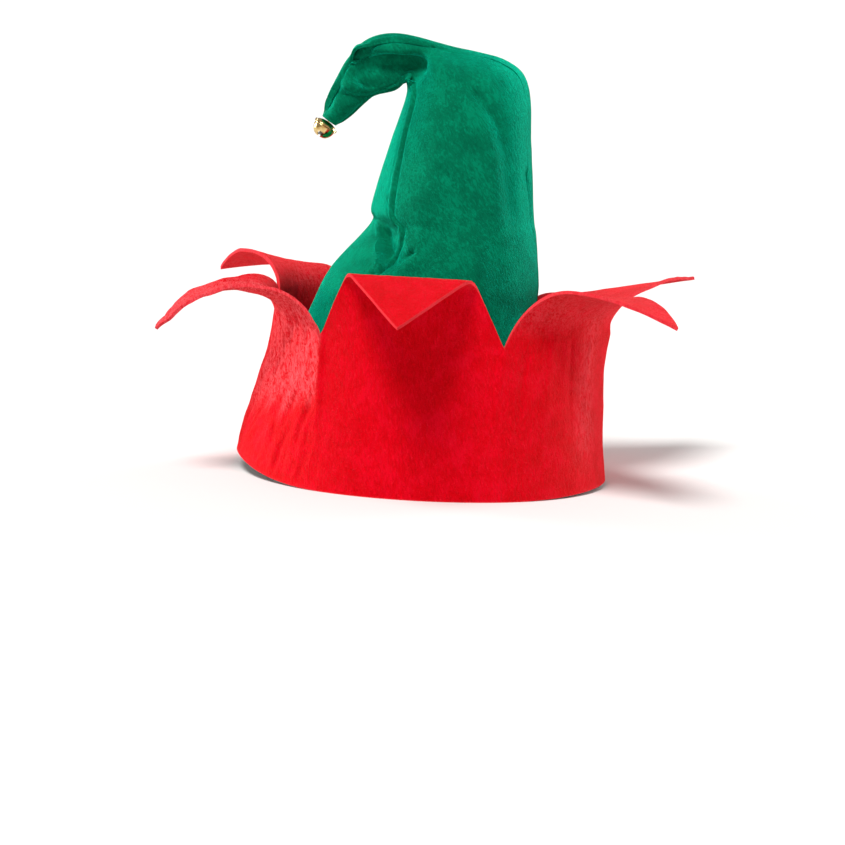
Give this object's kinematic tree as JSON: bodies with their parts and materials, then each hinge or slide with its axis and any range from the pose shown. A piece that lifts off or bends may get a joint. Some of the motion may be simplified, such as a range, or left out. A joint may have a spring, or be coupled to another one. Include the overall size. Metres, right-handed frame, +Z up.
{
  "type": "elf hat",
  "caption": "Soft felt elf hat with its peak folded over to the front, a cut cuff whose points curl outwards, and a small jingle bell at the end of the peak.",
  "frame": {"origin": "middle of the hat's bounding box across and front to back, on the ground under its rim", "axes": "+Z up through the crown, the front and the folded peak towards -Y, the hat's left side towards +X"},
  "size_m": [0.27, 0.296, 0.2396],
  "materials": {
    "green_felt": "matt pressed felt with a soft sheen at its edges",
    "red_felt": "matt pressed felt with a soft sheen at its edges",
    "gold_plate": "bright polished plate",
    "pellet_steel": "plain ball"
  },
  "bodies": {
    "root": {"crown_left_panel": "green_felt", "crown_right_panel": "green_felt", "cuff": "red_felt", "bell_top": "gold_plate", "bell_bottom": "gold_plate", "bell_pellet": "pellet_steel"}
  },
  "joints": []
}
